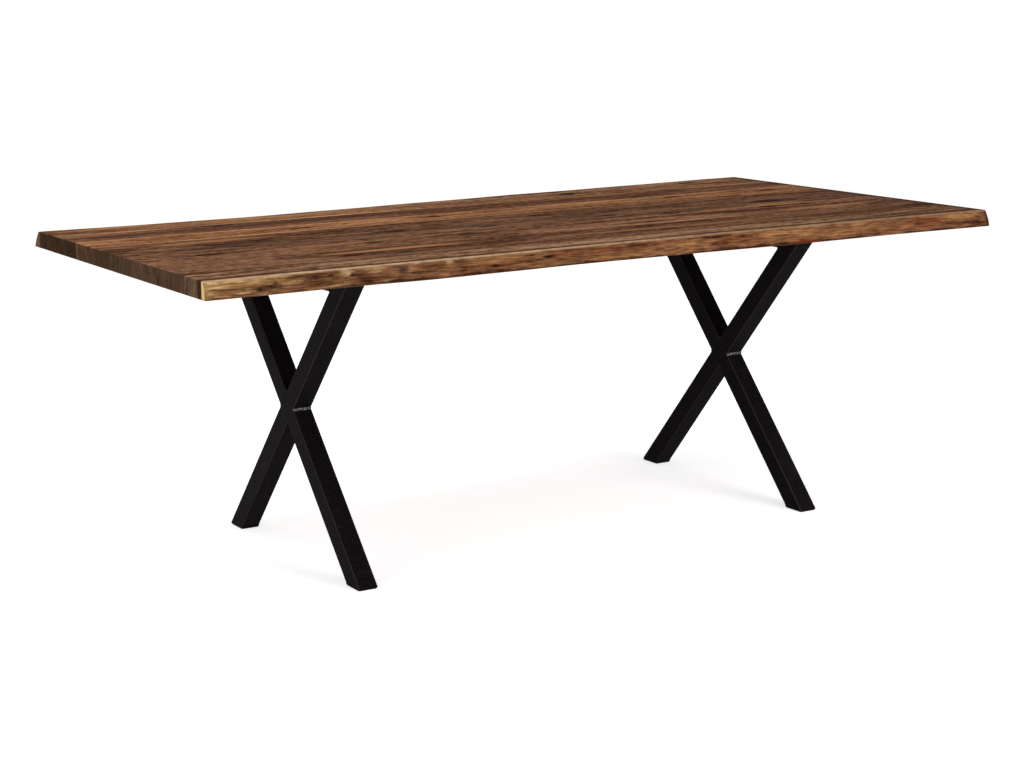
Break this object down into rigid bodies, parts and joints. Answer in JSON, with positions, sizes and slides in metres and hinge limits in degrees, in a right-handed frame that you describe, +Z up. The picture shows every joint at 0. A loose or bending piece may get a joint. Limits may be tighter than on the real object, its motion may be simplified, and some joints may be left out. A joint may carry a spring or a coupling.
{
  "type": "live edge dining table",
  "caption": "Dining table with a glued wood top of wide staves, natural live edges front and rear, on X frames of black square steel tube with glide pads.",
  "frame": {"origin": "on the floor under the middle of the top's box", "axes": "+X along the length, +Y to the rear live edge, +Z up"},
  "size_m": [2.134, 1.1, 0.76],
  "materials": {
    "live_edge_wood": "clear satin coat on sanded hardwood, paler sapwood at the natural edge",
    "stave_wood": "clear satin coat on sanded reddish brown hardwood",
    "black_steel": "satin black powder coat, fine texture",
    "weld_steel": "rippled weld beads, dark with bare grey flecks",
    "glide": "matt black",
    "black_fastener": "black oxide"
  },
  "bodies": {
    "root": {"top_front_live_edge_strip": "live_edge_wood", "top_stave_a": "stave_wood", "top_stave_b": "stave_wood", "top_stave_c": "stave_wood", "top_stave_d": "stave_wood", "top_stave_e": "stave_wood", "top_stave_f": "stave_wood", "top_stave_g": "stave_wood", "top_rear_live_edge_board": "live_edge_wood", "left_frame_long_leg": "black_steel", "left_frame_upper_half_leg": "black_steel", "left_frame_lower_half_leg": "black_steel", "left_frame_top_rail": "black_steel", "left_frame_crossing_welds": "weld_steel", "left_frame_rail_welds": "black_steel", "left_frame_fixing_tabs": "black_steel", "left_frame_tab_welds": "black_steel", "left_frame_front_foot_plate": "black_steel", "left_frame_front_glide_pad": "glide", "left_frame_rear_foot_plate": "black_steel", "left_frame_rear_glide_pad": "glide", "left_frame_screws": "black_fastener", "left_frame_washers": "black_fastener", "right_frame_long_leg": "black_steel", "right_frame_upper_half_leg": "black_steel", "right_frame_lower_half_leg": "black_steel", "right_frame_top_rail": "black_steel", "right_frame_crossing_welds": "weld_steel", "right_frame_rail_welds": "black_steel", "right_frame_fixing_tabs": "black_steel", "right_frame_tab_welds": "black_steel", "right_frame_front_foot_plate": "black_steel", "right_frame_front_glide_pad": "glide", "right_frame_rear_foot_plate": "black_steel", "right_frame_rear_glide_pad": "glide", "right_frame_screws": "black_fastener", "right_frame_washers": "black_fastener"}
  },
  "joints": []
}
